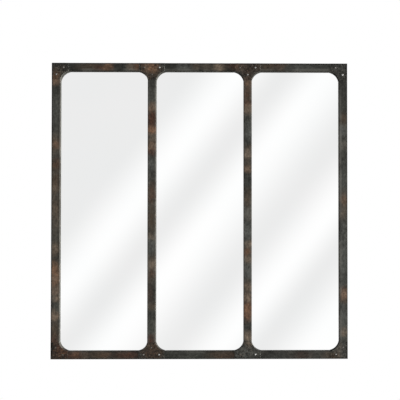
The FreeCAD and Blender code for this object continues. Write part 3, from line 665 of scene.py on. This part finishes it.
def hardboard():
    """Pressed hardboard.

    Felted brown fibre, cloudy and flecked, with the print of the press screen and a furred, paler rim.
    """
    material, tree, place = new_finish("pressed_hardboard")
    half_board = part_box("backing_board")[1]
    cloud = add(tree, "TexNoise", {"Vector": place, "Scale": per_mm(BOARD_CLOUD), "Detail": 4.0,
                                   "Roughness": 0.6})
    felt = 0.0
    for turn in FIBRE_TURNS:
        lay = add(tree, "Mapping", {"Vector": place, "Rotation": (0, turn, 0),
                                    "Scale": (1, 1, FIBRE_LENGTH)}, vector_type="TEXTURE")
        strand = add(tree, "TexNoise", {"Vector": lay, "Scale": per_mm(FIBRE_WIDTH), "Detail": 3.0,
                                        "Roughness": 0.55})
        felt = layered(tree, felt, (strand, 1 / len(FIBRE_TURNS)))
    tone = layered(tree, -1.35, (cloud, 0.7), (felt, 3.0))
    colour = add(tree, "ValToRGB", {"Fac": tone}, ((0.2, "#5f4028"), (0.5, "#7b5638"), (0.8, "#96714c")))
    shreds = add(tree, "TexVoronoi", {"Vector": place, "Scale": per_mm(SHRED_SPACING)})
    shred = add(tree, "MapRange", {"Value": shreds, "From Min": 0.16, "From Max": 0.08, "To Max": 0.55})
    colour = add(tree, "Mix", {SHARE: shred, UNDER: colour, OVER: "#4a301c"}, data_type="RGBA")

    xyz = add(tree, "SeparateXYZ", {0: place})
    inward = []
    for axis in (ACROSS, UP):
        off = add(tree, "Math", {0: xyz.outputs[axis]}, operation="ABSOLUTE")
        inward.append(add(tree, "Math", {0: half_board[axis], 1: off}, operation="SUBTRACT"))
    nearest = add(tree, "Math", {0: inward[0], 1: inward[1]}, operation="MINIMUM")
    furred = layered(tree, nearest, (felt, -FUR_LENGTH * MM))
    rim = add(tree, "MapRange", {"Value": furred, "From Min": RIM_STARTS * MM, "From Max": RIM_FULL * MM,
                                 "To Max": 0.8}, interpolation_type="SMOOTHSTEP")
    colour = add(tree, "Mix", {SHARE: rim, UNDER: colour, OVER: "#8a6a48"}, data_type="RGBA")

    gloss = add(tree, "MapRange", {"Value": tone, "From Min": 0.3, "From Max": 0.7, "To Min": 0.5,
                                   "To Max": 0.72})
    relief = felt
    for direction in "XZ":
        wire = add(tree, "TexWave", {"Vector": place, "Scale": per_mm(SCREEN_SPACING) * WAVE_SCALE},
                   bands_direction=direction)
        relief = layered(tree, relief, (wire.outputs["Fac"], 0.2))
    bump = add(tree, "Bump", {"Height": relief, "Strength": 0.5, "Distance": BOARD_RELIEF * MM})
    close_finish(tree, {"Base Color": colour, "Roughness": gloss, "Normal": bump,
                        "Specular IOR Level": 0.35})
    return material


# Hanging hardware and screws, sizes in mm
ZINC_CAST = 14.0
ZINC_SCRATCH = 1.2  # drawn wider than real to show
SCRATCH_LENGTH = 16  # times its width
SCRATCH_TURN = math.radians(24)
ZINC_RELIEF = 0.1


def zinc_plate():
    """Bright zinc-plated steel.

    Cool silver with a faint straw and blue cast from its passivation, and scratches from handling.
    """
    material, tree, place = new_finish("bright_zinc_plate")
    cast = add(tree, "TexNoise", {"Vector": place, "Scale": per_mm(ZINC_CAST), "Detail": 3.0})
    colour = add(tree, "ValToRGB", {"Fac": cast}, ((0.3, "#aeb4ba"), (0.5, "#c3c4c2"), (0.72, "#c8bfa6")))
    rubbed = add(tree, "Mapping", {"Vector": place, "Rotation": (0, SCRATCH_TURN, 0),
                                   "Scale": (1, 1, SCRATCH_LENGTH)}, vector_type="TEXTURE")
    scratch = add(tree, "TexNoise", {"Vector": rubbed, "Scale": per_mm(ZINC_SCRATCH), "Detail": 3.0})
    gloss = add(tree, "MapRange", {"Value": scratch, "From Min": 0.3, "From Max": 0.7, "To Min": 0.2,
                                   "To Max": 0.42})
    bump = add(tree, "Bump", {"Height": scratch, "Strength": 0.15, "Distance": ZINC_RELIEF * MM})
    close_finish(tree, {"Base Color": colour, "Roughness": gloss, "Normal": bump, "Metallic": 1.0})
    return material


# Each bar has its own rust. The other pieces share the finish of their slot.
for bar in ("top_rail", "bottom_rail"):
    dress(tube_steel(bar, ACROSS), bar)
for bar in ("left_stile", "right_stile", "left_mullion", "right_mullion"):
    dress(tube_steel(bar, UP), bar)

FINISHES = {
    "plate_steel": gusset_steel(),
    "rivet_steel": rivet_steel(),
    "mirror_glass": mirror_glass(),
    "foam_tape": foam_tape(),
    "setting_rubber": black_rubber("setting_block_rubber", BLOCK_BLOOM),
    "spacer_wood": softwood("upright_spruce", UP),
    "board_wood": hardboard(),
    "zinc_steel": zinc_plate(),
    "bumper_rubber": black_rubber("bumper_rubber", BUMPER_BLOOM),
}
for row in frame["record"]["subparts"]:
    if row["material_slot"] in FINISHES:
        dress(FINISHES[row["material_slot"]], row["node"])
dress(softwood("level_spruce", ACROSS), "top_spacer", "bottom_spacer")


# Studio

def put(name, data):
    """Puts a lamp, a mesh or a camera into the scene."""
    thing = bpy.data.objects.new(name, data)
    bpy.context.scene.collection.objects.link(thing)
    return thing


def aim(lamp, toward):
    """Turns a lamp to shine that way."""
    lamp.rotation_euler = Vector(toward).to_track_quat("-Z", "Y").to_euler()


def window_light():
    """Even, soft daylight that rakes across the frame from one side."""
    lamp = bpy.data.lights.new("window_light", "SUN")
    lamp.angle = math.radians(DAYLIGHT_SPREAD)
    lamp.energy = DAYLIGHT_STRENGTH
    aim(put("window_light", lamp), DAYLIGHT_WAY)


def soft_box(name, place, width, power):
    """A square soft box aimed at the middle of the mirror."""
    lamp = bpy.data.lights.new(name, "AREA")
    lamp.size = width
    lamp.energy = power
    box = put(name, lamp)
    box.location = place
    aim(box, -Vector(place))
    box.visible_camera = False
    box.visible_glossy = False  # the glass would show it


def looking_rays(tree):
    """Two shares: rays of the camera, straight or through glass, and rays that a gloss sends out."""
    ray = add(tree, "LightPath")
    seen = add(tree, "Math", {0: ray.outputs["Is Camera Ray"], 1: ray.outputs["Is Transmission Ray"]},
               operation="MAXIMUM")
    return seen, ray.outputs["Is Glossy Ray"]


def pale_floor():
    """A matt white disc under the hanging mirror that fades into the white round it and keeps the shadow."""
    material, tree, place = new_finish("matt_white_floor")
    seen, glossy = looking_rays(tree)
    shown = add(tree, "Math", {0: seen, 1: glossy}, operation="MAXIMUM")
    lift = add(tree, "Math", {0: shown, 1: FLOOR_LIFT}, operation="MULTIPLY")
    matt = add(tree, "BsdfPrincipled", {"Base Color": "#f4f3f0", "Roughness": 0.9, "Specular IOR Level": 0.0,
                                        "Emission Color": "#ffffff", "Emission Strength": lift})
    flat = add(tree, "VectorMath", {0: place, 1: (1, 1, 0)}, operation="MULTIPLY")
    away = add(tree, "VectorMath", {0: flat}, operation="LENGTH").outputs["Value"]
    rim = add(tree, "MapRange", {"Value": away, "From Min": FLOOR_FADE[0], "From Max": FLOOR_FADE[1]},
              interpolation_type="SMOOTHSTEP")
    faded = add(tree, "MixShader", {0: rim, 1: matt, 2: add(tree, "BsdfTransparent")})
    add(tree, "OutputMaterial", {"Surface": faded})

    disc = bmesh.new()
    bmesh.ops.create_circle(disc, cap_ends=True, segments=FLOOR_SEGMENTS, radius=FLOOR_RADIUS,
                            matrix=Matrix.Translation((0, 0, CAD_LOW[UP] - FLOOR_DROP)))
    mesh = bpy.data.meshes.new("floor")
    disc.to_mesh(mesh)
    disc.free()
    mesh.materials.append(material)
    put("floor", mesh)


def surroundings():
    """White behind everything, soft slanting bands in the glass, and even light on the part."""
    world = bpy.data.worlds.new("studio")
    bpy.context.scene.world = world
    world.use_nodes = True
    tree = world.node_tree
    tree.nodes.clear()
    seen, glossy = looking_rays(tree)
    way = add(tree, "SeparateXYZ", {0: add(tree, "TexCoord").outputs["Generated"]})
    slanted = layered(tree, way.outputs[ACROSS], (way.outputs[UP], -BAND_SLANT))
    along = add(tree, "MapRange", {"Value": slanted, "From Min": -BAND_SPAN, "From Max": BAND_SPAN},
                clamp=False)
    along = add(tree, "Math", {0: along, 1: 1.0}, operation="PINGPONG")
    stops = [((at + BAND_SPAN) / (2 * BAND_SPAN), level) for at, level in BANDS]
    bands = add(tree, "ValToRGB", {"Fac": along}, stops)
    bands.color_ramp.interpolation = "EASE"
    lit = add(tree, "Mix", {SHARE: glossy, UNDER: [AMBIENT] * 3 + [1], OVER: bands}, data_type="RGBA")
    shown = add(tree, "Mix", {SHARE: seen, UNDER: lit, OVER: "#ffffff"}, data_type="RGBA")
    add(tree, "OutputWorld", {"Surface": add(tree, "Background", {"Color": shown})})


def photo_camera():
    """The camera at the photograph's viewing angle, with the lens shifted to its framing."""
    lens = bpy.data.cameras.new("photo_camera")
    lens.lens = FOCAL_LENGTH
    lens.sensor_width = SENSOR_WIDTH
    lens.shift_x, lens.shift_y = SHIFT
    camera = put("photo_camera", lens)
    camera.location = CAMERA_PLACE
    camera.rotation_euler = (math.radians(90 + CAMERA_TILT_UP), 0, math.radians(-CAMERA_TURN_RIGHT))
    bpy.context.scene.camera = camera


window_light()
for box in SOFT_BOXES:
    soft_box(*box)
pale_floor()
surroundings()
photo_camera()
bpy.context.scene.view_settings.view_transform = "Standard"
